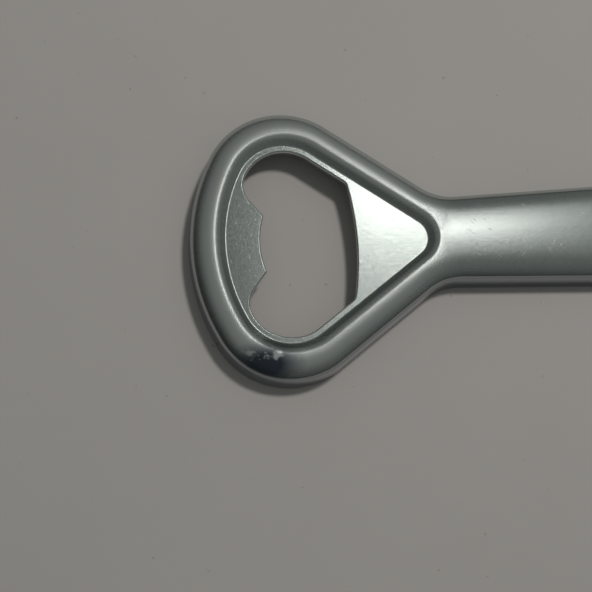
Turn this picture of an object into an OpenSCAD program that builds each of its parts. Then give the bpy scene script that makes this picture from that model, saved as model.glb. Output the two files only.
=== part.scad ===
// Keychain bottle opener: a one-piece pressed steel opener with a jump ring
// and a two-turn split key ring. The opener lies on its skirt, web recessed,
// nose towards -X and key ring towards +X. Z = 0 is the table.

/* [Head] */
// Half-width of the recessed web
web_half_width = 17.15; // [14:0.25:21]
// Length of the web from the nose end to the neck end
web_length = 33.9; // [30:0.5:42]
// Radius of the bowed nose end of the web
nose_radius = 28; // [24:1:60]
// Radius of the two wide corners of the web
corner_radius = 8.2; // [5:0.2:9.8]
// Radius of the neck end of the web
web_tip_radius = 3.5; // [2:0.25:5]
// Height of the web's top face above the table
web_height = 5.8; // [4.6:0.1:6]

/* [Rim] */
// Width of the rim, from the web to the foot of the skirt
rim_width = 5.95; // [5:0.05:8]
// Extra rim width at the middle of each wide corner
corner_swell = 0.35; // [0:0.05:0.8]
// Height of the crown of the rim and of the handle
crown_height = 6.9; // [6.4:0.1:8]
// Distance from the web to the crown of the rim
crest_run = 2; // [1.6:0.1:2.4]
// Slope of the wall between the web and the rim, in degrees
valley_slope = 40; // [34:1:50]
// Fall of the crown to the start of the shoulder bend
dome_drop = 1.45; // [1:0.05:1.8]
// Slope of the crown where it meets the shoulder, in degrees
dome_edge_slope = 47; // [40:1:55]
// Outside radius of the shoulder bend
shoulder_radius = 1.35; // [1.3:0.05:2]
// How far the foot of the skirt stands out past its top
skirt_flare = 0.25; // [0.15:0.05:1]
// Thickness of the steel sheet
sheet = 1.2; // [0.8:0.05:1.25]

/* [Handle] */
// Length of the opener, from nose to handle end
opener_length = 108; // [90:1:140]
// Half-width of the handle at the neck
neck_half_width = 7.6; // [6.5:0.1:9]
// Half-width that the handle's edges would reach at its end
end_half_width = 9.8; // [8:0.1:13]
// Radius of the hollow corner between rim and handle
neck_fillet = 9; // [5:0.5:14]
// Length over which the skirt runs out before the eye
runout = 16; // [10:1:24]
// Height of the eye's top face above the table
eye_height = 5.95; // [5.4:0.05:6.4]
// Diameter of the hole for the jump ring
eye_hole_d = 5.6; // [4.8:0.1:6.5]
// Width of the strip between the hole and the handle end
eye_strip = 3.6; // [3:0.1:4]

/* [Cap opening] */
// Margin of web left along the sides of the opening
web_margin = 1.1; // [0.8:0.1:2]
// Distance from the nose end of the web to the tips of the teeth
tooth_reach = 6.6; // [5.5:0.1:8]
// Half the distance between the two tooth tips
tooth_half_pitch = 4.8; // [3.5:0.1:6]
// Depth of the shallow scoop between the teeth
lip_scoop = 0.8; // [0.3:0.1:1.2]
// Radius of the round notch beside each tooth
notch_radius = 4.3; // [3.4:0.1:4.8]
// Direction from a web corner's centre to its notch's centre, in degrees
notch_angle = 154; // [145:1:165]
// Width of the opening along the middle line, from lip to bar
opening_reach = 16; // [14:0.5:18]
// Radius of the bowed bar edge opposite the teeth
bar_bow_radius = 50; // [30:5:120]
// Corner radius where the bar meets the sides of the opening
bar_corner_radius = 1.4; // [0.6:0.1:2.5]
// Rounding of the tooth tips
tooth_tip_radius = 0.3; // [0.1:0.1:0.5]

/* [Jump ring] */
// Wire diameter of the jump ring
jump_wire_d = 1.6; // [1.2:0.1:1.8]
// Room left inside the jump ring beyond the strip and the split ring's wire
jump_slack = 0.33; // [0.2:0.01:1.5]
// Clearance between the jump ring's wire and the edge of the hole
jump_clearance = 0.4; // [0.3:0.05:0.5]
// Angle of the butt joint in the jump ring, in degrees
jump_gap_angle = 2; // [1:0.5:6]

/* [Split ring] */
// Outside diameter of the split ring
split_outer_d = 25; // [20:0.5:35]
// Radial width of the split ring's wire
split_wire_width = 1.8; // [1.2:0.1:2]
// Thickness of one turn of the split ring
split_turn_height = 0.9; // [0.6:0.05:1]
// Clearance between the two turns
split_turn_gap = 0.1; // [0.05:0.05:0.2]
// Angle over which the wire steps from the lower to the upper turn, in degrees
split_step_angle = 20; // [14:2:40]
// Rounding of the wire's edges
split_wire_edge = 0.25; // [0.1:0.05:0.3]
// Clearance between the split ring and the handle end
split_clearance = 0.45; // [0.3:0.05:0.6]

/* [Hidden] */
steel_colour = [0.62, 0.65, 0.63];
ring_colour = [0.74, 0.75, 0.76];
through = 1;            // how far a cutter runs past the faces it cuts
flank_turn = 72;        // from the notch's far side round to where the tooth's flank meets it
$fn = 64;

// Stations along one half of the opener, from the nose to the handle end
nose_steps = 5;
corner_steps = 14;
side_steps = 5;
fillet_steps = 9;
handle_steps = 14;
end_steps = 12;
valley_steps = 3;       // rows on the rounding at the top of the valley wall
dome_steps = 5;         // rows on the crown
shoulder_steps = 4;     // rows on the shoulder bend
dome_roundness = 0.3;   // share of the crown that is an even curve

// Web outline: a nose arc, a corner arc, a straight side and a tip arc
web_nose_x = rim_width;
web_tip_x = web_nose_x + web_length;
nose_c = [web_nose_x + nose_radius, 0];
corner_y = web_half_width - corner_radius;
corner_c = [nose_c.x - sqrt(pow(nose_radius - corner_radius, 2) - corner_y * corner_y), corner_y];
tip_c = [web_tip_x - web_tip_radius, 0];
centre_gap = tip_c - corner_c;
side_normal = atan2(centre_gap.y, centre_gap.x) + acos((corner_radius - web_tip_radius) / norm(centre_gap));
nose_normal = atan2(corner_c.y, corner_c.x - nose_c.x);

function unit(a) = [cos(a), sin(a)];
function lerp(a, b, t) = a + (b - a) * t;
function smooth(t) = let (u = min(1, max(0, t))) u * u * (3 - 2 * u);

corner_end = corner_c + corner_radius * unit(side_normal);
tip_start = tip_c + web_tip_radius * unit(side_normal);

// Handle edge, a straight line that widens from the neck to the end
neck_x = web_tip_x + neck_half_width;
edge_rise = (end_half_width - neck_half_width) / (opener_length - neck_x);
edge_angle = atan(edge_rise);
function edge_y(x) = neck_half_width + edge_rise * (x - neck_x);

// Hollow corner between the rim's outer edge and the handle's edge
rim_corner = corner_end + rim_width * unit(side_normal);
rim_slope = tan(side_normal - 90);
meet_x = (rim_corner.y - rim_slope * rim_corner.x - neck_half_width + edge_rise * neck_x)
    / (edge_rise - rim_slope);
meet = [meet_x, edge_y(meet_x)];
fillet_turn = edge_angle + 90 - side_normal;
fillet_run = neck_fillet * tan(fillet_turn / 2);
fillet_start = meet - fillet_run * unit(side_normal - 90);
fillet_c = fillet_start + neck_fillet * unit(side_normal);

// Rounded handle end, an arc that both edges run into
end_radius = edge_y(opener_length) / (sqrt(1 + edge_rise * edge_rise) + edge_rise);
end_c = [opener_length - end_radius, 0];
end_normal = 90 + edge_angle;
end_start = end_c + end_radius * unit(end_normal);

// Eye, jump ring and split ring along the middle line
eye_x = opener_length - eye_strip - eye_hole_d / 2;
strip_x = opener_length - eye_strip / 2;
eye_mid_z = eye_height - sheet / 2;
split_height = 2 * split_turn_height + split_turn_gap;
split_reach = norm([split_wire_width, split_height]) / 2;
jump_inner_d = eye_strip + jump_clearance + split_clearance + 2 * split_reach + jump_slack;
jump_mean_r = (jump_inner_d + jump_wire_d) / 2;
jump_x = opener_length - eye_strip - jump_clearance + jump_inner_d / 2;
jump_z = jump_mean_r + jump_wire_d / 2;
split_mean_r = (split_outer_d - split_wire_width) / 2;
cross_x = opener_length + split_reach + split_clearance;
cross_z = eye_mid_z;
split_tilt = asin((cross_z - split_height / 2) / (2 * split_mean_r + split_wire_width / 2));
split_end_x = cross_x + (2 * split_mean_r + split_wire_width / 2) * cos(split_tilt)
    + split_height / 2 * sin(split_tilt);
mid_x = split_end_x / 2;

// Section of the rim, from the web to the foot of the skirt
valley_rise = crown_height - web_height;
valley_r = (crest_run * tan(valley_slope) - valley_rise)
    / (sin(valley_slope) * tan(valley_slope) + cos(valley_slope) - 1);
skirt_slope = atan((crown_height - dome_drop - shoulder_radius * cos(dome_edge_slope)) / skirt_flare);
shoulder_run = shoulder_radius * (sin(skirt_slope) - sin(dome_edge_slope));

// Stations: [web point, web normal, rim width there, outer point, outer normal]
function web_station(c, r, a, w) = [c + r * unit(a), unit(a), w, c + (r + w) * unit(a), unit(a)];
function swell(a) = rim_width
    + corner_swell * sin(180 * (a - side_normal) / (nose_normal - side_normal));
side_length = norm(tip_start - corner_end);
side_dir = unit(side_normal - 90);
straight_run = norm(fillet_start - rim_corner);
crest_tip_x = web_tip_x + crest_run;
spine_share = 0.3;              // how far the crown's middle line runs into the rounded end

nose_stations = [for (i = [0 : nose_steps - 1])
    web_station(nose_c, nose_radius, lerp(180, nose_normal, i / nose_steps), rim_width)];
corner_stations = [for (i = [0 : corner_steps - 1])
    let (a = lerp(nose_normal, side_normal, i / corner_steps))
    web_station(corner_c, corner_radius, a, swell(a))];
side_stations = [for (i = [0 : side_steps - 1])
    let (s = straight_run * i / side_steps, n = unit(side_normal))
    [corner_end + s * side_dir, n, rim_width, rim_corner + s * side_dir, n]];
// Along the hollow corner the web runs on down its side and round its tip
tip_arc = web_tip_radius * side_normal * PI / 180;
rest_length = side_length - straight_run + tip_arc;
function web_rest(s) =
    let (on_side = side_length - straight_run,
        a = side_normal - max(0, s - on_side) / web_tip_radius * 180 / PI)
    [s < on_side ? corner_end + (straight_run + s) * side_dir : tip_c + web_tip_radius * unit(a),
        unit(min(a, side_normal))];
fillet_stations = [for (i = [0 : fillet_steps])
    let (t = i / fillet_steps, web = web_rest(rest_length * t), a = side_normal + fillet_turn * t)
    [web[0], web[1], rim_width, fillet_c - neck_fillet * unit(a), unit(a)]];
fillet_end = fillet_c - neck_fillet * unit(side_normal + fillet_turn);
handle_stations = [for (i = [1 : handle_steps])
    [undef, undef, 0, lerp(fillet_end, end_start, i / handle_steps), unit(end_normal)]];
end_stations = [for (i = [1 : end_steps])
    let (a = end_normal * (1 - i / end_steps)) [undef, undef, 0, end_c + end_radius * unit(a), unit(a)]];
half = concat(nose_stations, corner_stations, side_stations, fillet_stations,
    handle_stations, end_stations);

M = len(half) - 1;              // last station, at the handle end
R = nose_steps + corner_steps + side_steps + fillet_steps;  // last station on the web, at its tip
N = 2 * M;                      // stations right round the opener
NR = 2 * R;                     // stations right round the web
spine_steps = M - R;

// Point of the crown that station i's section starts from
function crest_point(i) = i <= R ? half[i][0] + crest_run * half[i][1]
    : i <= R + handle_steps ? [lerp(crest_tip_x, end_c.x, (i - R) / handle_steps), 0]
    : [end_c.x + spine_share * end_radius * (i - R - handle_steps) / end_steps, 0];
// Share of the skirt that is left, and height of the crown, at a distance x from the nose
function skirt_left(x) = 1 - smooth((x - (opener_length - runout - end_radius)) / runout);
function crown_z(x) = lerp(eye_height, crown_height, skirt_left(x));

// A row point is [plan point, height, plan direction of fall, slope]
function valley_row(i, j) =
    let (k = half[i][0], n = half[i][1], a = valley_slope * (1 - j / valley_steps))
    j < 0 ? [k, web_height, -n, valley_slope / 2]
    : [k + n * (crest_run - valley_r * sin(a)), crown_height - valley_r * (1 - cos(a)), -n, a];
function dome_row(i, j) =
    let (p = crest_point(i), o = half[i][3], n = half[i][4],
        q = o - n * (skirt_flare + shoulder_run), run = norm(q - p), t = j / dome_steps,
        power = (tan(dome_edge_slope) * run / dome_drop - 2 * dome_roundness) / (1 - dome_roundness),
        fall = dome_roundness * t * t + (1 - dome_roundness) * pow(t, power),
        slope = (2 * dome_roundness * t + (1 - dome_roundness) * power * pow(t, power - 1)) * dome_drop / run,
        s = skirt_left(o.x))
    [lerp(p, q, t), crown_z(o.x) - s * dome_drop * fall, (q - p) / run, atan(s * slope)];
function shoulder_row(i, j) =
    let (o = half[i][3], n = half[i][4], s = skirt_left(o.x),
        a = lerp(dome_edge_slope, skirt_slope, j / shoulder_steps),
        run = skirt_flare + shoulder_radius * (sin(skirt_slope) - sin(a)),
        fall = dome_drop + shoulder_radius * (cos(dome_edge_slope) - cos(a)))
    [o - n * run, crown_z(o.x) - s * fall, n, atan(s * tan(a))];
function foot_row(i) =
    let (o = half[i][3], s = skirt_left(o.x)) [o, crown_z(o.x) * (1 - s), half[i][4], atan(s * tan(skirt_slope))];

// The outer face, or the inner face one sheet thickness below it
function face_point(row, depth) =
    [row[0].x - row[2].x * depth * sin(row[3]), row[0].y - row[2].y * depth * sin(row[3]),
        max(0, row[1] - depth * (row[3] == valley_slope / 2 ? 1 : cos(row[3])))];
function mirrored(p) = [p.x, -p.y, p.z];

web_rows = valley_steps + 2;
out_rows = dome_steps + shoulder_steps + 1;
function web_loop(j, depth) =
    let (pts = [for (i = [0 : R]) face_point(valley_row(i, j), depth)])
    concat(pts, [for (i = [R - 1 : -1 : 1]) mirrored(pts[i])]);
function out_row(i, j) = j <= dome_steps ? dome_row(i, j)
    : j <= dome_steps + shoulder_steps ? shoulder_row(i, j - dome_steps) : foot_row(i);
function out_loop(j, depth) =
    let (pts = [for (i = [0 : M]) face_point(out_row(i, j), depth)])
    concat(pts, [for (i = [M - 1 : -1 : 1]) mirrored(pts[i])]);
function spine(depth) = [for (i = [R + 1 : M])
    let (p = crest_point(i)) [p.x, 0, crown_z(half[i][3].x) - depth]];
function face_points(depth) = concat(
    [for (j = [-1 : valley_steps]) each web_loop(j, depth)], spine(depth),
    [for (j = [1 : out_rows]) each out_loop(j, depth)]);
face_size = web_rows * NR + spine_steps + out_rows * N;

// Index of a point: row j of the web's loops, the crest row, and row j of the outer loops
function web_id(j, i) = j * NR + (i + NR) % NR;
function crest_id(i) = let (k = i % N)
    k <= R ? web_id(web_rows - 1, k) : k >= N - R ? web_id(web_rows - 1, NR - (N - k))
    : web_rows * NR + (k <= M ? k : N - k) - R - 1;
function out_id(j, i) = j == 0 ? crest_id(i) : web_rows * NR + spine_steps + (j - 1) * N + i % N;
function quad(a, b, c, d) = [[a, b, c], [a, c, d]];
// Which way round a face is listed, and how far its points are along the list
function placed(faces, shift, flip) = [for (f = faces)
    let (g = [for (v = f) v + shift]) flip ? [g[0], g[2], g[1]] : g];
skin = concat(
    [for (j = [0 : web_rows - 2], i = [0 : NR - 1])
        each quad(web_id(j, i), web_id(j, i + 1), web_id(j + 1, i + 1), web_id(j + 1, i))],
    [for (j = [0 : out_rows - 1], i = [0 : N - 1])
        each quad(out_id(j, i), out_id(j, i + 1), out_id(j + 1, i + 1), out_id(j + 1, i))]);
// The web is a ladder of strips between its two halves
web_skin = concat([[web_id(0, 0), web_id(0, NR - 1), web_id(0, 1)]],
    [for (i = [1 : R - 2]) each quad(web_id(0, i), web_id(0, NR - i), web_id(0, NR - i - 1), web_id(0, i + 1))],
    [[web_id(0, R - 1), web_id(0, R + 1), web_id(0, R)]]);
foot_skin = [for (i = [0 : N - 1])
    each quad(out_id(out_rows, i), face_size + out_id(out_rows, i),
        face_size + out_id(out_rows, i + 1), out_id(out_rows, i + 1))];

module pressed_shell() {
    polyhedron(
        points = concat(face_points(0), face_points(sheet)),
        faces = concat(placed(skin, 0, true), placed(web_skin, 0, true),
            placed(skin, face_size, false), placed(web_skin, face_size, false), foot_skin));
}

function arc(c, r, a, b, steps) = [for (i = [0 : steps]) c + r * unit(lerp(a, b, i / steps))];
module web_outline(inset) {
    upper = concat(arc(nose_c, nose_radius - inset, 180, nose_normal, 12),
        arc(corner_c, corner_radius - inset, nose_normal, side_normal, 30),
        arc(tip_c, web_tip_radius - inset, side_normal, 0, 16));
    polygon(concat(upper, [for (i = [len(upper) - 2 : -1 : 1]) [upper[i].x, -upper[i].y]]));
}

tooth_x = web_nose_x + tooth_reach;
lip_x = tooth_x - lip_scoop;
scoop_r = (tooth_half_pitch * tooth_half_pitch + lip_scoop * lip_scoop) / (2 * lip_scoop);
notch_c = corner_c + (corner_radius - web_margin - notch_radius) * unit(notch_angle);
flank_meets = notch_c + notch_radius * unit(notch_angle + flank_turn);
bar_x = lip_x + opening_reach;

// Room in front of the lip: a scoop between the teeth, their flanks and two notches,
// each notch running smoothly into the corner of the web
module lip_side() {
    translate([tooth_x, -web_half_width]) square([bar_x - tooth_x, 2 * web_half_width]);
    translate([lip_x + scoop_r, 0]) circle(r = scoop_r, $fn = 180);
    for (side = [0, 1]) mirror([0, side]) {
        translate(notch_c) circle(r = notch_radius);
        polygon([[tooth_x, tooth_half_pitch], flank_meets, notch_c]);
        polygon([corner_c, corner_c + 2 * corner_radius * unit(notch_angle),
            corner_c + 2 * corner_radius * unit(notch_angle - 60)]);
    }
}

module cap_opening() {
    offset(r = -tooth_tip_radius) offset(delta = tooth_tip_radius)
        offset(r = bar_corner_radius) offset(delta = -bar_corner_radius)
            intersection() {
                web_outline(web_margin);
                translate([bar_x - bar_bow_radius, 0]) circle(r = bar_bow_radius, $fn = 360);
                lip_side();
            }
}

module opener_body() {
    color(steel_colour) translate([-mid_x, 0, 0]) difference() {
        pressed_shell();
        translate([0, 0, web_height - sheet - through])
            linear_extrude(sheet + 2 * through) cap_opening();
        translate([eye_x, 0, eye_height - sheet - through])
            cylinder(d = eye_hole_d, h = sheet + 2 * through);
    }
}

module jump_ring() {
    color(ring_colour) translate([jump_x - mid_x, 0, jump_z]) rotate([90, 0, 0])
        rotate([0, 0, 45 + jump_gap_angle / 2])
            rotate_extrude(angle = 360 - jump_gap_angle)
                translate([jump_mean_r, 0]) circle(d = jump_wire_d, $fn = 32);
}

// Wire section, flat with rounded edges, as [radial, up] points
wire_section = let (a = split_wire_width / 2, b = split_turn_height / 2, e = split_wire_edge)
    [[a, -b + e], [a, b - e], [a - e, b], [-a + e, b], [-a, b - e], [-a, -b + e], [-a + e, -b], [a - e, -b]];
wire_sides = len(wire_section);
wire_steps = 112;
function wire_angle(k) = lerp(split_step_angle / 2, 720 - split_step_angle / 2, k / wire_steps);
function wire_z(a) = (smooth((a - 360) / split_step_angle + 0.5) - 0.5) * (split_turn_height + split_turn_gap);
function wire_point(a, p) = let (r = split_mean_r + p.x) [r * cos(a), r * sin(a), wire_z(a) + p.y];
split_points = [for (k = [0 : wire_steps], p = wire_section) wire_point(wire_angle(k), p)];
split_faces = concat(
    [[for (s = [wire_sides - 1 : -1 : 0]) s]],
    [for (k = [0 : wire_steps - 1], s = [0 : wire_sides - 1])
        let (a = k * wire_sides, t = (s + 1) % wire_sides)
        each quad(a + s, a + t, a + wire_sides + t, a + wire_sides + s)],
    [[for (s = [0 : wire_sides - 1]) wire_steps * wire_sides + s]]);

module split_ring() {
    color(ring_colour) translate([cross_x - mid_x, 0, cross_z]) rotate([0, split_tilt, 0])
        translate([split_mean_r, 0, 0]) rotate([0, 0, 60])
            polyhedron(points = split_points, faces = split_faces);
}

opener_body();
jump_ring();
split_ring();
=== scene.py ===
import math

import bmesh
import bpy
from mathutils import Matrix, Vector


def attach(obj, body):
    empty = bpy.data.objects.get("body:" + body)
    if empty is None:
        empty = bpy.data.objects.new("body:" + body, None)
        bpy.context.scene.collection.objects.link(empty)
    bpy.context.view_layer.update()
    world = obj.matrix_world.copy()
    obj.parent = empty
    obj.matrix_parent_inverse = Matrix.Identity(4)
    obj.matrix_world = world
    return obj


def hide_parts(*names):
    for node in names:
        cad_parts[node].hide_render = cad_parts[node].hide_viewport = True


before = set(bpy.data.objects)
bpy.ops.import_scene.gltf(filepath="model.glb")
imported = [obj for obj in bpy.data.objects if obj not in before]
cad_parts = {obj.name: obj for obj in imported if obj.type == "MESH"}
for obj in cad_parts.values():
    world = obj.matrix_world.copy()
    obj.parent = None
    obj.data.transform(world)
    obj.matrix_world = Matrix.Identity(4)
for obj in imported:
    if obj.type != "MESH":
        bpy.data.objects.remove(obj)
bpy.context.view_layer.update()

# --- View, light and table ---------------------------------------------------
# A camera held a hand's length above the opener's head, leaning a little back
# and rolled a few degrees, over a plain pale table top in a dim room. A small lamp
# behind the handle gives the firm shadow. The plate mirrors two bulbs and a screen.
camera_place = Vector((-0.06837, -0.05984, 0.19387))
camera_target = Vector((-0.04923, -0.00764, 0.0))
camera_roll = math.radians(4.02)
lamp_direction = Vector((0.26, 0.25, 0.935)).normalized()
lamp_distance = 0.45
lamp_width = 0.06
lamp_power = 0.455
bulb_direction = Vector((0.195, 0.365, 0.91)).normalized()
bulb_width = 0.04
bulb_power = 0.020
far_bulb_direction = Vector((0.285, 0.34, 0.9)).normalized()
far_bulb_power = 0.014
screen_direction = Vector((0.235, 0.325, 0.905)).normalized()
screen_width = 0.13
screen_height = 0.20
screen_power = 0.029
room_dim = 0.026
room_overhead = 0.125
shade_direction = Vector((0.05, 0.26, 0.965)).normalized()
shade_strength = 0.075
glow_direction = Vector((0.38, 0.36, 0.85)).normalized()
glow_strength = 0.10
shade_focus, glow_focus = 60, 30
wall_east, wall_north, wall_all = 0.075, 0.04, 0.045
room_colour = (0.95, 1.0, 0.975, 1)
lamp_colour = (1.0, 0.985, 0.965)
table_colour = (0.75, 0.715, 0.68, 1)
table_cloud = (0.78, 0.744, 0.707, 1)
table_speck = (0.30, 0.27, 0.24, 1)
table_width = 8

scene = bpy.context.scene
scene.view_settings.view_transform = "Standard"
camera = bpy.data.objects.new("camera", bpy.data.cameras.new("camera"))
scene.collection.objects.link(camera)
camera.data.lens = 72.97
camera.data.sensor_width = 36
camera.data.clip_start = 0.005
gaze = (camera_target - camera_place).normalized()
side = Matrix.Rotation(camera_roll, 3, gaze) @ gaze.cross(Vector((0, 1, 0))).normalized()
turn = Matrix((side, side.cross(gaze), -gaze)).transposed()
camera.matrix_world = Matrix.Translation(camera_place) @ turn.to_4x4()
scene.camera = camera

for name, direction, width, height, power, mirrored in (
    ("lamp", lamp_direction, lamp_width, lamp_width, lamp_power, False),
    ("bulb", bulb_direction, bulb_width, bulb_width, bulb_power, True),
    ("far_bulb", far_bulb_direction, bulb_width, bulb_width, far_bulb_power, True),
    ("screen", screen_direction, screen_width, screen_height, screen_power, True),
):
    lamp = bpy.data.objects.new(name, bpy.data.lights.new(name, "AREA"))
    scene.collection.objects.link(lamp)
    lamp.data.shape = "ELLIPSE"
    lamp.data.size = width
    lamp.data.size_y = height
    lamp.data.energy = power
    lamp.data.color = lamp_colour
    lamp.visible_glossy = mirrored
    lamp.visible_diffuse = not mirrored
    lamp.matrix_world = (
        Matrix.Translation(camera_target + direction * lamp_distance)
        @ direction.to_track_quat("Z", "Y").to_matrix().to_4x4()
    )


class Tap:
    """A shader node's output. Sums, products and powers of taps add Math nodes."""

    def __init__(self, tree, socket=None):
        self.tree, self.socket = tree, socket

    def node(self, kind, settings=None, inputs=None, out=0):
        made = self.tree.nodes.new("ShaderNode" + kind)
        for key, value in (settings or {}).items():
            if key == "stops":
                while len(made.color_ramp.elements) < len(value):
                    made.color_ramp.elements.new(1)
                for stop, (place, colour) in zip(made.color_ramp.elements, value):
                    stop.position, stop.color = place, colour
            else:
                setattr(made, key, value)
        for key, value in (inputs or {}).items():
            if isinstance(value, Tap):
                self.tree.links.new(value.socket, made.inputs[key])
            else:
                made.inputs[key].default_value = value
        return Tap(self.tree, made.outputs[out])

    def math(self, operation, *values):
        return self.node("Math", {"operation": operation}, dict(enumerate(values)))

    def __add__(self, other):
        return self.math("ADD", self, other)

    def __radd__(self, other):
        return self.math("ADD", other, self)

    def __sub__(self, other):
        return self.math("SUBTRACT", self, other)

    def __rsub__(self, other):
        return self.math("SUBTRACT", other, self)

    def __mul__(self, other):
        return self.math("MULTIPLY", self, other)

    def __rmul__(self, other):
        return self.math("MULTIPLY", other, self)

    def __truediv__(self, other):
        return self.math("DIVIDE", self, other)

    def __pow__(self, other):
        return self.math("POWER", self, other)

    def above(self, low, high):
        """0 below low, 1 above high, and an even ramp between."""
        return self.node("MapRange", {"clamp": True}, {0: self, 1: low, 2: high, 3: 0.0, 4: 1.0})

    def blend(self, first, second):
        """Colour first where this tap is 0, and second where it is 1."""
        return self.node("Mix", {"data_type": "RGBA"}, {0: self, 6: first, 7: second}, out=2)


def new_finish(name, colour, metallic, rough):
    """A material with one Principled shader. Returns its tree's tap, its shader node and itself."""
    made = bpy.data.materials.new(name)
    made.use_nodes = True
    shader = made.node_tree.nodes["Principled BSDF"]
    shader.inputs["Base Color"].default_value = colour
    shader.inputs["Metallic"].default_value = metallic
    shader.inputs["Roughness"].default_value = rough
    return Tap(made.node_tree), shader, made


def feed(shader, name, tap):
    tap.tree.links.new(tap.socket, shader.inputs[name])


def place_on(tap, scale=(1, 1, 1), turn=0.0, shift=(0, 0, 0)):
    """Object coordinates, turned about Z and scaled."""
    at = tap.node("TexCoord", out=3)
    at = tap.node("Mapping", {}, {0: at, 1: shift, 2: (0, 0, turn)})
    return tap.node("Mapping", {}, {0: at, 3: scale})


def mottle(tap, size, detail=2.0, stretch=(1, 1, 1), turn=0.0, shift=(0, 0, 0), rough=0.5):
    """Noise whose patches are about size metres across, 0 to 1."""
    scale = tuple(s / size for s in stretch)
    at = place_on(tap, scale, turn, shift)
    return tap.node("TexNoise", {}, {0: at, 2: 1.0, 3: detail, 4: rough})


room = scene.world or bpy.data.worlds.new("room")
scene.world = room
room.use_nodes = True
air = Tap(room.node_tree)
facing = air.node("TexCoord", out=0)
up = air.node("SeparateXYZ", {}, {0: facing}, out=2).above(0.0, 1.0)
east = air.node("SeparateXYZ", {}, {0: facing}, out=0)
north = air.node("SeparateXYZ", {}, {0: facing}, out=1)
near_lamp = air.node("VectorMath", {"operation": "DOT_PRODUCT"}, {0: facing, 1: glow_direction}, out=1)
near_shade = air.node("VectorMath", {"operation": "DOT_PRODUCT"}, {0: facing, 1: shade_direction}, out=1)
walls = (wall_east * east + wall_north * north + wall_all) * (1 - up) * up.above(0.0, 0.25)
glow = glow_strength * near_lamp.above(0.0, 1.0) ** glow_focus
shade = shade_strength * near_shade.above(0.0, 1.0) ** shade_focus
brightness = room_dim + room_overhead * up + walls + glow - shade
air.tree.links.new(brightness.socket, room.node_tree.nodes["Background"].inputs["Strength"])
room.node_tree.nodes["Background"].inputs["Color"].default_value = room_colour

top = bmesh.new()
bmesh.ops.create_grid(top, x_segments=1, y_segments=1, size=table_width / 2)
table = bpy.data.objects.new("table", bpy.data.meshes.new("table"))
top.to_mesh(table.data)
top.free()
scene.collection.objects.link(table)
tap, shader, table_finish = new_finish("table_top", table_colour, 0.0, 0.62)
shader.inputs["Specular IOR Level"].default_value = 0.25
cloudy = mottle(tap, 0.03, 4.0, rough=0.6)
speck = mottle(tap, 0.0016, 1.0).above(0.76, 0.80)
tint = (cloudy.above(0.3, 0.7) * 0.6).blend(table_colour, table_cloud)
feed(shader, "Base Color", (speck * 0.35).blend(tint, table_speck))
table.data.materials.append(table_finish)

# --- Opener body ---------------------------------------------------------------
# The opener itself: one blank of 1.2 mm sheet steel, pierced for the cap, pressed
# into a domed rim and handle with a turned-down skirt, tumbled and plated.
# It is drawn in millimetres from the nose, as one half that is then mirrored.
web_half_width = 17.15
web_length = 33.9
nose_radius = 28
corner_radius = 8.2
web_tip_radius = 3.5
web_height = 5.8
rim_width = 5.95
corner_swell = 0.32
crown_height = 6.9
crest_run = 2
valley_slope = 40
dome_drop = 1.45
dome_edge_slope = 47
dome_roundness = 0.3
shoulder_radius = 1.35
skirt_flare = 0.25
sheet_thickness = 1.2
opener_length = 108
neck_half_width = 7.6
end_half_width = 9.8
neck_fillet = 9
runout = 16
eye_height = 5.95
eye_radius = 2.8
eye_strip = 3.6
opener_middle = 66.8135
crease_radius = 0.45
flat_margin = 0.12
foot_round = 0.22
rolled_edge = 0.24
burr_edge = 0.07
buffed_sheen_to, buffed_sheen_fade = 34, 16      # the wheel's buffing and its painted sheen end where the handle starts
weld = 0.0004                        # vertices closer than this are one


def heading(degrees):
    return Vector((math.cos(math.radians(degrees)), math.sin(math.radians(degrees))))


def between(a, b, t):
    return a + (b - a) * t


def ease(t):
    t = min(1, max(0, t))
    return t * t * (3 - 2 * t)


nose_centre = Vector((rim_width + nose_radius, 0))
corner_y = web_half_width - corner_radius
corner_reach = math.sqrt((nose_radius - corner_radius) ** 2 - corner_y ** 2)
corner_centre = Vector((nose_centre.x - corner_reach, corner_y))
tip_centre = Vector((rim_width + web_length - web_tip_radius, 0))
gap = tip_centre - corner_centre
side_normal = math.degrees(
    math.atan2(gap.y, gap.x) + math.acos((corner_radius - web_tip_radius) / gap.length))
nose_normal = math.degrees(math.atan2(corner_y, corner_centre.x - nose_centre.x))
corner_end = corner_centre + corner_radius * heading(side_normal)
tip_start = tip_centre + web_tip_radius * heading(side_normal)
side_run = heading(side_normal - 90)
neck_x = rim_width + web_length + neck_half_width
edge_rise = (end_half_width - neck_half_width) / (opener_length - neck_x)
edge_angle = math.degrees(math.atan(edge_rise))
rim_corner = corner_end + rim_width * heading(side_normal)
rim_slope = math.tan(math.radians(side_normal - 90))
meet_x = rim_corner.y - rim_slope * rim_corner.x - neck_half_width + edge_rise * neck_x
meet_x = meet_x / (edge_rise - rim_slope)
meet = Vector((meet_x, neck_half_width + edge_rise * (meet_x - neck_x)))
fillet_turn = edge_angle + 90 - side_normal
fillet_start = meet - neck_fillet * math.tan(math.radians(fillet_turn / 2)) * side_run
fillet_centre = fillet_start + neck_fillet * heading(side_normal)
end_radius = end_half_width / (math.sqrt(1 + edge_rise ** 2) + edge_rise)
end_centre = Vector((opener_length - end_radius, 0))
end_normal = 90 + edge_angle
eye_centre = Vector((opener_length - eye_strip - eye_radius, 0))
valley_r = (crest_run * math.tan(math.radians(valley_slope)) - (crown_height - web_height)) / (
    math.sin(math.radians(valley_slope)) * math.tan(math.radians(valley_slope))
    + math.cos(math.radians(valley_slope)) - 1)
skirt_slope = math.degrees(math.atan(
    (crown_height - dome_drop - shoulder_radius * math.cos(math.radians(dome_edge_slope))) / skirt_flare))
shoulder_run = shoulder_radius * (
    math.sin(math.radians(skirt_slope)) - math.sin(math.radians(dome_edge_slope)))

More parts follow.
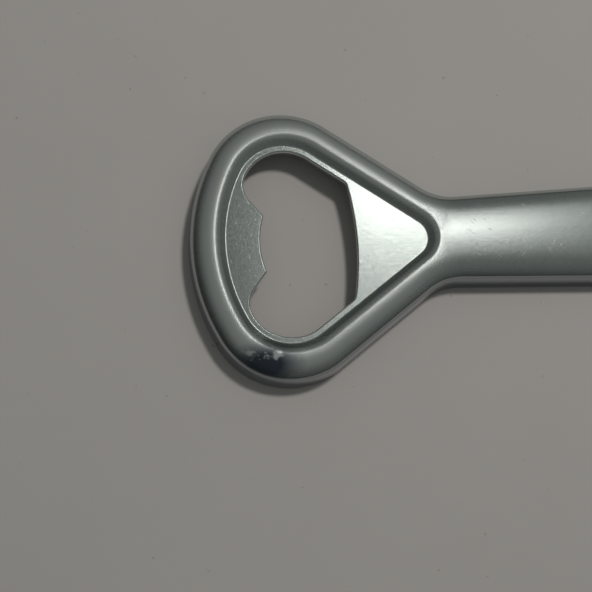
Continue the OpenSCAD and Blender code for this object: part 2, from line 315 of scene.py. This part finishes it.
# Stations round the half outline: web point, its normal, outer point, its normal
nose_steps, corner_steps, side_steps, fillet_steps, handle_steps, end_steps = 14, 46, 16, 26, 44, 36
stations = []
for i in range(nose_steps):
    n = heading(between(180, nose_normal, i / nose_steps))
    stations.append((nose_centre + nose_radius * n, n, nose_centre + (nose_radius + rim_width) * n, n))
for i in range(corner_steps):
    a = between(nose_normal, side_normal, i / corner_steps)
    n = heading(a)
    wide = rim_width + corner_swell * math.sin(math.pi * (a - side_normal) / (nose_normal - side_normal))
    stations.append((corner_centre + corner_radius * n, n, corner_centre + (corner_radius + wide) * n, n))
straight_run = (fillet_start - rim_corner).length
for i in range(side_steps):
    n, s = heading(side_normal), straight_run * i / side_steps
    stations.append((corner_end + s * side_run, n, rim_corner + s * side_run, n))
on_side = (tip_start - corner_end).length - straight_run
rest_length = on_side + web_tip_radius * math.radians(side_normal)
for i in range(fillet_steps + 1):
    s, n = rest_length * i / fillet_steps, heading(side_normal + fillet_turn * i / fillet_steps)
    a = side_normal - math.degrees(max(0, s - on_side) / web_tip_radius)
    on_tip = tip_centre + web_tip_radius * heading(a)
    web = corner_end + (straight_run + s) * side_run if s < on_side else on_tip
    stations.append((web, heading(a), fillet_centre - neck_fillet * n, n))
last_web = len(stations) - 1
fillet_end, end_start = stations[-1][2], end_centre + end_radius * heading(end_normal)
for i in range(1, handle_steps + 1):
    stations.append((None, None, between(fillet_end, end_start, i / handle_steps), heading(end_normal)))
for i in range(1, end_steps + 1):
    n = heading(end_normal * (1 - i / end_steps))
    stations.append((None, None, end_centre + end_radius * n, n))
last = len(stations) - 1


def crest_point(i):
    """Where a station's section starts on the crown: the crest, the middle line or the eye's edge."""
    if i <= last_web:
        return stations[i][0] + crest_run * stations[i][1]
    if i <= last_web + handle_steps:
        start, stop = rim_width + web_length + crest_run, eye_centre.x - eye_radius - rolled_edge
        return Vector((between(start, stop, (i - last_web) / handle_steps), 0))
    return eye_centre + (eye_radius + rolled_edge) * heading(180 * (last - i) / end_steps)


def skirt_left(x):
    return 1 - ease((x - (opener_length - runout - end_radius)) / runout)


def crown_z(x):
    return between(eye_height, crown_height, skirt_left(x))


def on_face(plan, height, fall, slope, depth):
    """A point of the outer face, or of the inner face at that depth below it."""
    lean = math.radians(slope)
    inside = plan - fall * depth * math.sin(lean)
    return Vector((inside.x, inside.y, max(0, height - depth * math.cos(lean))))


def crease_point(i, slope, depth):
    """The small fillet where the web turns up into the rim's inner wall."""
    web, n = stations[i][:2]
    a = math.radians(max(0, slope))
    run = crease_radius * (math.sin(a) - math.tan(math.radians(valley_slope / 2)))
    run = run - (flat_margin if slope < 0 else 0)
    return on_face(web + n * run, web_height + crease_radius * (1 - math.cos(a)), -n, math.degrees(a), depth)


def wall_point(i, slope, depth):
    """The inner wall and its rounding over to the crest."""
    web, n = stations[i][:2]
    a = math.radians(slope)
    plan = web + n * (crest_run - valley_r * math.sin(a))
    return on_face(plan, crown_height - valley_r * (1 - math.cos(a)), -n, slope, depth)


def dome_point(i, t, depth):
    """The crown, from the crest or middle line to the shoulder."""
    start, outer, n = crest_point(i), stations[i][2], stations[i][3]
    reach = outer - n * (skirt_flare + shoulder_run) - start
    left, run = skirt_left(outer.x), reach.length
    power = math.tan(math.radians(dome_edge_slope)) * run / dome_drop - 2 * dome_roundness
    power = power / (1 - dome_roundness)
    fall = dome_roundness * t * t + (1 - dome_roundness) * t ** power
    slope = (2 * dome_roundness * t + (1 - dome_roundness) * power * t ** (power - 1)) * dome_drop / run
    lean = math.degrees(math.atan(left * slope))
    return on_face(start + reach * t, crown_z(outer.x) - left * dome_drop * fall, reach / run, lean, depth)


def shoulder_point(i, slope, depth):
    """The bend that turns the crown down into the skirt."""
    outer, n = stations[i][2:4]
    left, a, edge = skirt_left(outer.x), math.radians(slope), math.radians(dome_edge_slope)
    run = skirt_flare + shoulder_radius * (math.sin(math.radians(skirt_slope)) - math.sin(a))
    fall = dome_drop + shoulder_radius * (math.cos(edge) - math.cos(a))
    lean = math.degrees(math.atan(left * math.tan(a)))
    return on_face(outer - n * run, crown_z(outer.x) - left * fall, n, lean, depth)


def foot_corner(i, depth):
    outer, n = stations[i][2:4]
    left = skirt_left(outer.x)
    lean = math.degrees(math.atan(left * math.tan(math.radians(skirt_slope))))
    return on_face(outer, crown_z(outer.x) * (1 - left), n, lean, depth)


def skirt_point(i, share, depth):
    """Down the skirt: share 0 is its top and share 1 is where the foot's rounding starts."""
    top_edge, foot = shoulder_point(i, skirt_slope, depth), foot_corner(i, depth)
    drop = foot - top_edge
    return top_edge + drop * (share * (1 - foot_round / drop.length))


def foot_point(i, angle, inner):
    """The rounded edges of the foot, outside or inside."""
    near, far = (sheet_thickness, 0) if inner else (0, sheet_thickness)
    corner = foot_corner(i, near)
    down = (corner - shoulder_point(i, skirt_slope, near)).normalized()
    along = (foot_corner(i, far) - corner).normalized()
    a = math.radians(angle)
    return corner - down * foot_round * (1 - math.sin(a)) + along * foot_round * (1 - math.cos(a))


body = bmesh.new()
rubbed = body.verts.layers.float.new("rubbed")
hidden_side = body.verts.layers.float.new("hidden_side")
buffed = body.verts.layers.float.new("buffed")
turned_down = body.verts.layers.float.new("turned_down")


def new_chain(mesh, places):
    """A chain of vertices joined by edges."""
    verts = [mesh.verts.new(p) for p in places]
    for a, b in zip(verts, verts[1:]):
        mesh.edges.new((a, b))
    return verts


def press_out(mesh, verts, places):
    """Extrudes a chain and sets the new chain at places. Returns the new chain."""
    edges = [mesh.edges.get(pair) for pair in zip(verts, verts[1:])]
    made = bmesh.ops.extrude_edge_only(mesh, edges=edges)["geom"]
    fresh = {v for v in made if isinstance(v, bmesh.types.BMVert)}
    moved = []
    for v, place in zip(verts, places):
        grown = next(e.other_vert(v) for e in v.link_edges if e.other_vert(v) in fresh)
        grown.co = place
        moved.append(grown)
    return moved


def mark(verts, wear, inside=0.0, buff_and_sheen=0.0, skirt=0.0):
    """How far these vertices are rubbed, out of sight (painted darker as shade), worked by the buffing wheel
    and painted paler as sheen, and part of the skirt (painted darker as shade), 0 to 1.
    """
    for k, v in enumerate(verts):
        v[rubbed], v[hidden_side], v[turned_down] = wear, inside, skirt
        v[buffed] = buff_and_sheen * (1 - 0.8 * ease((stations[k][2].x - buffed_sheen_to) / buffed_sheen_fade)) if buff_and_sheen else 0


web_span, full_span = range(last_web + 1), range(last + 1)
crease_slopes = [0, 8, 16, 24, 32, 40]
wall_slopes = [40, 36, 31, 26, 21, 16, 11, 6, 0]
dome_shares = [1 - (1 - j / 14) ** 1.7 for j in range(1, 15)]
shoulder_slopes = [between(dome_edge_slope, skirt_slope, j / 7) for j in range(1, 8)]

# Outer face, from the web's edge out to the foot, then back along the inner face
chain = new_chain(body, [crease_point(i, -1, 0) for i in web_span])
web_edge = chain
mark(chain, 0)
for slope in crease_slopes:
    chain = press_out(body, chain, [crease_point(i, slope, 0) for i in web_span])
    mark(chain, 0.1)
for slope in wall_slopes:
    chain = press_out(body, chain, [wall_point(i, slope, 0) for i in web_span])
    mark(chain, 0.75 * (1 - slope / valley_slope), buff_and_sheen=1 - slope / valley_slope)
spine = [crest_point(i) for i in full_span]
for i in range(last_web + 1, last + 1):
    chain.append(body.verts.new((*spine[i], crown_z(stations[i][2].x))))
    body.edges.new(chain[-2:])
    mark(chain[-1:], 0.35)
    # The handle's middle line gets a little of the painted sheen.
    chain[-1][buffed] = 0.2
crest = chain
for share in dome_shares:
    chain = press_out(body, chain, [dome_point(i, share, 0) for i in full_span])
    mark(chain, 0.75 * (1 - share) ** 2 + 0.3 * share,
         buff_and_sheen=1 - ease((share - 0.45) / 0.5), skirt=0.3 * share ** 3)
for slope in shoulder_slopes:
    chain = press_out(body, chain, [shoulder_point(i, slope, 0) for i in full_span])
    mark(chain, 0.35, skirt=between(0.3, 1, ease((slope - dome_edge_slope) / 25)))
for share in (0.3, 0.6, 0.85, 1):
    chain = press_out(body, chain, [skirt_point(i, share, 0) for i in full_span])
    mark(chain, 0.2, skirt=1)
for angle in (30, 60, 90):
    chain = press_out(body, chain, [foot_point(i, angle, False) for i in full_span])
    mark(chain, 0.7, skirt=1)
for angle in (90, 60, 30, 0):
    chain = press_out(body, chain, [foot_point(i, angle, True) for i in full_span])
    mark(chain, 0.8, 0.5)
for share in (0.7, 0.35, 0):
    chain = press_out(body, chain, [skirt_point(i, share, sheet_thickness) for i in full_span])
    mark(chain, 0, 1)
for slope in (70, 57, dome_edge_slope):
    chain = press_out(body, chain, [shoulder_point(i, slope, sheet_thickness) for i in full_span])
    mark(chain, 0, 1)
for share in (0.93, 0.82, 0.66, 0.48, 0.3, 0.14):
    chain = press_out(body, chain, [dome_point(i, share, sheet_thickness) for i in full_span])
    mark(chain, 0, 1)
under_crest = [
    wall_point(i, 0, sheet_thickness) if i <= last_web
    else Vector((*spine[i], crown_z(stations[i][2].x) - sheet_thickness)) for i in full_span]
chain = press_out(body, chain, under_crest)
mark(chain, 0, 1)
chain = chain[:last_web + 1]
for slope in (12, 24, 40):
    chain = press_out(body, chain, [wall_point(i, slope, sheet_thickness) for i in web_span])
    mark(chain, 0, 1)
for slope in (40, 26, 13, 0, -1):
    chain = press_out(body, chain, [crease_point(i, slope, sheet_thickness) for i in web_span])
    mark(chain, 0, 1)
under_web_edge = chain

# The eye: its top edge is rolled by the punch, and the wall goes straight down
chain = crest[last_web + handle_steps:]
eye_turns = [heading(180 * (1 - k / end_steps)) for k in range(end_steps + 1)]
for angle in (30, 60, 90):
    reach = eye_radius + rolled_edge * (1 - math.sin(math.radians(angle)))
    drop = rolled_edge * (1 - math.cos(math.radians(angle)))
    edge_z = eye_height - drop
    chain = press_out(body, chain, [Vector((*(eye_centre + reach * n), edge_z)) for n in eye_turns])
    mark(chain, 0.9)
for angle in (0, 90):
    reach = eye_radius + rolled_edge * (1 - math.cos(math.radians(angle)))
    lift = burr_edge * (1 - math.sin(math.radians(angle)))
    floor_z = eye_height - sheet_thickness + lift
    chain = press_out(body, chain, [Vector((*(eye_centre + reach * n), floor_z)) for n in eye_turns])
    mark(chain, 0.6, 0.5)

# --- Cap opening -----------------------------------------------------------------
# The hole that takes the crown cap: a bowed bar edge on the handle side, sides that
# follow the web, and a lip with two teeth and a round notch beside each. It is cut
# by one punch, so its top edge is rolled over and its lower edge has a fine burr.
web_margin = 1.1
tooth_reach = 6.6
tooth_half_pitch = 4.8
lip_scoop = 0.8
notch_radius = 4.3
notch_angle = 154
flank_turn = 72
opening_reach = 16
bar_bow_radius = 50
bar_corner_radius = 1.4
tooth_tip_radius = 0.3
lip_flat, under_flat = 0.04, 0.1     # flat metal kept beside the rolled edge and the burr

tooth = Vector((rim_width + tooth_reach, tooth_half_pitch))
lip_x = tooth.x - lip_scoop
scoop_r = (tooth_half_pitch ** 2 + lip_scoop ** 2) / (2 * lip_scoop)
scoop_centre = Vector((lip_x + scoop_r, 0))
notch_centre = corner_centre + (corner_radius - web_margin - notch_radius) * heading(notch_angle)
flank_meets = notch_centre + notch_radius * heading(notch_angle + flank_turn)
bar_centre = Vector((lip_x + opening_reach - bar_bow_radius, 0))


def where_line_meets(point, direction, centre, radius, far):
    """Where a line crosses a circle, at its near or far crossing."""
    off = point - centre
    along = off.dot(direction)
    swing = math.sqrt(along ** 2 - off.length_squared + radius ** 2)
    return point + direction * (-along + (swing if far else -swing))


cut = []                 # points of half the hole's edge, each with its direction into the metal


def cut_arc(centre, radius, start, stop, steps, hollow=False):
    for k in range(1, steps + 1):
        n = heading(between(start, stop, k / steps))
        cut.append((centre + radius * n, -n if hollow else n))


def cut_line(start, stop, n, steps):
    for k in range(1, steps + 1):
        cut.append((between(start, stop, k / steps), n))


side_way = heading(side_normal)
inner_line = corner_centre + (corner_radius - web_margin - bar_corner_radius) * side_way
bar_corner = where_line_meets(inner_line, side_run, bar_centre, bar_bow_radius - bar_corner_radius, True)
bar_turn = math.degrees(math.atan2(bar_corner.y, bar_corner.x - bar_centre.x))
flank = (tooth - flank_meets).normalized()
into_flank = Vector((flank.y, -flank.x))
tip_place = where_line_meets(
    tooth + into_flank * tooth_tip_radius, flank, scoop_centre, scoop_r + tooth_tip_radius, False)
to_scoop = scoop_centre - tip_place
flank_way = math.degrees(math.atan2(-into_flank.y, -into_flank.x))
scoop_way = math.degrees(math.atan2(to_scoop.y, to_scoop.x))
cut.append((bar_centre + Vector((bar_bow_radius, 0)), heading(0)))
cut_arc(bar_centre, bar_bow_radius, 0, bar_turn, 12)
cut_arc(bar_corner, bar_corner_radius, bar_turn, side_normal, 8)
cut_line(bar_corner + bar_corner_radius * side_way, corner_centre + (corner_radius - web_margin) * side_way,
         side_way, 10)
cut_arc(corner_centre, corner_radius - web_margin, side_normal, notch_angle, 30)
cut_arc(notch_centre, notch_radius, notch_angle, notch_angle + flank_turn, 20)
cut_line(flank_meets, tip_place - into_flank * tooth_tip_radius, into_flank, 5)
cut_arc(tip_place, tooth_tip_radius, flank_way, scoop_way, 6, hollow=True)
scoop_start = math.degrees(math.atan2(-to_scoop.y, -to_scoop.x)) % 360
cut_arc(scoop_centre, scoop_r, scoop_start, 180, 10)


def cut_row(reach, height):
    return [Vector((*(p + n * reach), height)) for p, n in cut]


chain = new_chain(body, cut_row(rolled_edge + lip_flat, web_height))
opening_edge = chain
mark(chain, 0.2)
for angle in (0, 22, 45, 68, 90):
    a = math.radians(angle)
    reach, height = rolled_edge * (1 - math.sin(a)), web_height - rolled_edge * (1 - math.cos(a))
    chain = press_out(body, chain, cut_row(reach, height))
    mark(chain, 1)
under_web = web_height - sheet_thickness
chain = press_out(body, chain, cut_row(0, under_web + burr_edge))
mark(chain, 0.6, 0.3)
chain = press_out(body, chain, cut_row(burr_edge, under_web))
mark(chain, 0.6, 1)
chain = press_out(body, chain, cut_row(burr_edge + under_flat, under_web))
mark(chain, 0, 1)
for outer_rim, inner_rim in ((web_edge, opening_edge), (under_web_edge, chain)):
    ring = [body.edges.get(pair) for rim in (outer_rim, inner_rim) for pair in zip(rim, rim[1:])]
    ring += [body.edges.new((outer_rim[0], inner_rim[-1])), body.edges.new((outer_rim[-1], inner_rim[0]))]
    bmesh.ops.triangle_fill(body, use_beauty=True, edges=ring)

bmesh.ops.remove_doubles(body, verts=body.verts, dist=weld)
bmesh.ops.mirror(body, geom=body.verts[:] + body.edges[:] + body.faces[:], matrix=Matrix.Identity(4),
                 merge_dist=weld, axis="Y")
bmesh.ops.recalc_face_normals(body, faces=body.faces)
bmesh.ops.transform(body, verts=body.verts,
                    matrix=Matrix.Scale(0.001, 4) @ Matrix.Translation((-opener_middle, 0, 0)))


def finish_piece(mesh, name, finish, body_name, node_name):
    """Turns a bmesh into a smooth-shaded piece that stands for its CAD node."""
    for face in mesh.faces:
        face.smooth = True
    piece = bpy.data.objects.new(name, bpy.data.meshes.new(name))
    mesh.to_mesh(piece.data)
    mesh.free()
    scene.collection.objects.link(piece)
    piece.data.materials.append(finish)
    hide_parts(node_name)
    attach(piece, body_name)
    return piece


# Satin nickel plate: a fine orange peel from tumbling, faint lines from the
# rolled sheet, smudges, short scratches from keys and bright rubbed edges.
# The crest and the handle's middle line are worked by the buffing wheel and
# painted paler there as a painted sheen; the skirt is painted a darker, bluer
# grey as painted shade; the inside is duller where no one polishes it, and is
# painted a darker grey as painted shade.
plate_colour = (0.60, 0.645, 0.62, 1)
satin_grey, satin_pale = (0.545, 0.60, 0.565, 1), (0.60, 0.65, 0.62, 1)
rubbed_pale, buffed_sheen_pale = (0.68, 0.72, 0.70, 1), (0.88, 0.92, 0.89, 1)
grain_pale, nick_pale = (0.88, 0.91, 0.88, 1), (0.86, 0.90, 0.89, 1)
stain_blue, skirt_shade_grey, inside_shade_grey = (0.06, 0.075, 0.12, 1), (0.34, 0.36, 0.39, 1), (0.42, 0.43, 0.41, 1)
stain_away = (0.0555, 0.0205, 0)     # from the stain's middle to the origin, in metres
tap, shader, plated = new_finish("plated_steel", plate_colour, 1.0, 0.15)
wear = tap.node("Attribute", {"attribute_name": "rubbed"}, out=2)
inside = tap.node("Attribute", {"attribute_name": "hidden_side"}, out=2)
wheel_and_sheen = tap.node("Attribute", {"attribute_name": "buffed"}, out=2)
skirt = tap.node("Attribute", {"attribute_name": "turned_down"}, out=2)
peel = mottle(tap, 0.00055, 2.0)
grain = mottle(tap, 0.00022, 2.0, rough=0.6)
rolled = mottle(tap, 0.0003, 3.0, stretch=(0.05, 1, 1))
smudge = mottle(tap, 0.007, 4.0, rough=0.62)
blotch = mottle(tap, 0.0022, 3.0, rough=0.6)
nick_a = mottle(tap, 0.00024, 1.0, stretch=(0.09, 1, 1), turn=0.62, shift=(0.3, 0.1, 0)).above(0.71, 0.77)
nick_b = mottle(tap, 0.0002, 1.0, stretch=(0.07, 1, 1), turn=-0.95, shift=(0.1, 0.4, 0)).above(0.72, 0.78)
nick_c = mottle(tap, 0.0003, 1.0, stretch=(0.16, 1, 1), turn=1.9, shift=(0.7, 0.2, 0)).above(0.73, 0.79)
nicks = tap.math("MAXIMUM", tap.math("MAXIMUM", nick_a, nick_b), nick_c) * smudge.above(0.42, 0.58)
worn = (wear * (0.55 + 0.9 * blotch)).above(0.15, 0.75)
at = place_on(tap, (1000, 1000, 1000), shift=stain_away)
flat_way = tap.node("VectorMath", {"operation": "MULTIPLY"}, {0: at, 1: (0.62, 1.0, 0.0)})
reach = tap.node("VectorMath", {"operation": "LENGTH"}, {0: flat_way}, out=1)
stain = (1 - reach.above(1.6, 4.2)) * blotch.above(0.36, 0.46)
tone = smudge.above(0.3, 0.7).blend(satin_grey, satin_pale)
tone = (worn * 0.5).blend(tone, rubbed_pale)
# Painted sheen: the crest and the handle's middle line are painted paler, a painted highlight along them.
tone = wheel_and_sheen.blend(tone, buffed_sheen_pale)
tone = (grain.above(0.56, 0.66) * 0.5).blend(tone, grain_pale)
tone = (nicks * 0.45).blend(tone, nick_pale)
tone = (stain * 0.95).blend(tone, stain_blue)
# Painted shade: the skirt is painted a darker, bluer grey.
tone = skirt.blend(tone, skirt_shade_grey)
# Painted shade: the inside of the shell is painted a darker grey.
tone = inside.blend(tone, inside_shade_grey)
feed(shader, "Base Color", tone)
rough = 0.12 + 0.05 * smudge + 0.10 * grain + 0.15 * wheel_and_sheen - 0.05 * skirt
rough = rough + 0.3 * inside + 0.10 * stain + 0.08 * nicks
feed(shader, "Roughness", rough)
height = peel * 0.55 + grain * 0.5 + rolled * 0.25 - nicks * 0.6 + stain * 0.3
feed(shader, "Normal", tap.node("Bump", {}, {"Strength": 0.8, "Distance": 0.00001, "Height": height}))
finish_piece(body, "opener_body_pressed", plated, "opener", "opener_body")

# --- Jump ring -------------------------------------------------------------------
# A closed ring of 1.6 mm round wire that hangs in the eye and carries the split
# ring. It is cut from a coil and pressed shut, so its two ends butt together.
jump_wire = 1.6
jump_gap = 2
split_wire_width = 1.8
split_turn_height = 0.9
split_turn_gap = 0.1
split_height = 2 * split_turn_height + split_turn_gap
split_reach = math.hypot(split_wire_width, split_height) / 2
jump_clearance, split_clearance, jump_slack = 0.4, 0.45, 0.33
jump_skin = 0.003                    # how far the wire's polygon is drawn inside its true circle
jump_end_round = 0.12
jump_inner = eye_strip + jump_clearance + split_clearance + 2 * split_reach + jump_slack
jump_mean = (jump_inner + jump_wire) / 2
jump_x = opener_length - eye_strip - jump_clearance + jump_inner / 2


def draw_wire(mesh, section, steps, turn_by, lift_by):
    """Draws a wire's section round the Z axis, and closes its two ends."""
    first = section[:]
    for k in range(steps):
        edges = [mesh.edges.get((a, b)) for a, b in zip(section, section[1:] + section[:1])]
        made = bmesh.ops.extrude_edge_only(mesh, edges=edges)["geom"]
        fresh = {v for v in made if isinstance(v, bmesh.types.BMVert)}
        section = [next(e.other_vert(v) for e in v.link_edges if e.other_vert(v) in fresh) for v in section]
        move = Matrix.Translation((0, 0, lift_by(k))) @ Matrix.Rotation(turn_by(k), 4, "Z")
        bmesh.ops.transform(mesh, matrix=move, verts=section)
    return [mesh.faces.new(first), mesh.faces.new(section)]


jump = bmesh.new()
bmesh.ops.create_circle(jump, cap_ends=False, segments=28, radius=jump_wire / 2 - jump_skin)
bmesh.ops.transform(jump, verts=jump.verts,
                    matrix=Matrix.Translation((jump_mean, 0, 0)) @ Matrix.Rotation(math.pi / 2, 4, "X"))
bmesh.ops.rotate(jump, verts=jump.verts, cent=(0, 0, 0),
                 matrix=Matrix.Rotation(math.radians(jump_gap / 2), 3, "Z"))
jump_steps = 120
one_step = math.radians(360 - jump_gap) / jump_steps
ends = draw_wire(jump, jump.verts[:], jump_steps, lambda k: one_step, lambda k: 0)
bmesh.ops.recalc_face_normals(jump, faces=jump.faces)
bmesh.ops.bevel(jump, geom=[e for f in ends for e in f.edges], offset=jump_end_round, segments=3,
                affect="EDGES", profile=0.5, material=-1)
stand = Matrix.Translation((jump_x - opener_middle, 0, jump_mean + jump_wire / 2)) @ Matrix.Rotation(
    math.pi / 2, 4, "X") @ Matrix.Rotation(math.pi / 4, 4, "Z")
bmesh.ops.transform(jump, verts=jump.verts, matrix=Matrix.Scale(0.001, 4) @ stand)

# Bright nickel on spring wire: fine lines left by the drawing die, small pits,
# and a patchy haze of paler and greyer nickel.
wire_grey, wire_pale, pit_grey = (0.66, 0.67, 0.665, 1), (0.77, 0.775, 0.78, 1), (0.42, 0.40, 0.37, 1)
wire_colour = (0.72, 0.73, 0.73, 1)
tap, shader, wire = new_finish("ring_wire", wire_colour, 1.0, 0.2)
drawn = mottle(tap, 0.00018, 3.0, stretch=(1, 0.35, 1), rough=0.65)
pits = mottle(tap, 0.0005, 2.0).above(0.68, 0.78)
haze = mottle(tap, 0.004, 4.0, rough=0.6)
tone = haze.above(0.3, 0.7).blend(wire_grey, wire_pale)
tone = (pits * 0.5).blend(tone, pit_grey)
feed(shader, "Base Color", tone)
feed(shader, "Roughness", 0.15 + 0.12 * haze + 0.05 * drawn + 0.12 * pits)
feed(shader, "Normal", tap.node("Bump", {}, {"Strength": 0.25, "Distance": 0.00001, "Height": drawn - pits}))
finish_piece(jump, "jump_ring_wire", wire, "jump_ring", "jump_ring")

# --- Split ring ------------------------------------------------------------------
# The key ring: two turns of flat spring wire pressed close, with a short step
# where the lower turn becomes the upper one. Keys slip in at either cut end.
split_outer = 25
split_step = 20
split_edge = 0.25
split_skin = 0.004                   # how far the wire's section is drawn inside its full size
split_end_round = 0.1
split_mean = (split_outer - split_wire_width) / 2
cross_x = opener_length + split_reach + split_clearance
cross_z = eye_height - sheet_thickness / 2
split_tilt = math.asin((cross_z - split_height / 2) / (2 * split_mean + split_wire_width / 2))

split = bmesh.new()
bmesh.ops.create_grid(split, x_segments=1, y_segments=1, size=0.5)
bmesh.ops.scale(split, verts=split.verts,
                vec=(split_wire_width - split_skin, split_turn_height - split_skin, 1))
bmesh.ops.bevel(split, geom=split.verts[:] + split.edges[:], offset=split_edge, segments=4, affect="VERTICES",
                profile=0.5, material=-1)
section_face = split.faces[:][0]
wire_section = [loop.vert for loop in section_face.loops]
bmesh.ops.delete(split, geom=[section_face], context="FACES_ONLY")
bmesh.ops.transform(split, verts=split.verts, matrix=Matrix.Rotation(math.radians(split_step / 2), 4, "Z")
                    @ Matrix.Translation((split_mean, 0, -(split_turn_height + split_turn_gap) / 2))
                    @ Matrix.Rotation(math.pi / 2, 4, "X"))
flat_steps, step_steps = 110, 14
turns = [math.radians(360 - split_step) / flat_steps] * flat_steps
turns = turns + [math.radians(split_step) / step_steps] * step_steps + turns
step_lift = split_turn_height + split_turn_gap
lifts = [step_lift * (ease((k + 1) / step_steps) - ease(k / step_steps)) for k in range(step_steps)]
lifts = [0] * flat_steps + lifts + [0] * flat_steps
ends = draw_wire(split, wire_section, len(turns), lambda k: turns[k], lambda k: lifts[k])
bmesh.ops.recalc_face_normals(split, faces=split.faces)
bmesh.ops.bevel(split, geom=[e for f in ends for e in f.edges], offset=split_end_round, segments=3,
                affect="EDGES", profile=0.5, material=-1)
hang = Matrix.Translation((cross_x - opener_middle, 0, cross_z)) @ Matrix.Rotation(split_tilt, 4, "Y")
hang = hang @ Matrix.Translation((split_mean, 0, 0)) @ Matrix.Rotation(math.pi / 3, 4, "Z")
bmesh.ops.transform(split, verts=split.verts, matrix=Matrix.Scale(0.001, 4) @ hang)
finish_piece(split, "split_ring_wire", wire, "split_ring", "split_ring")
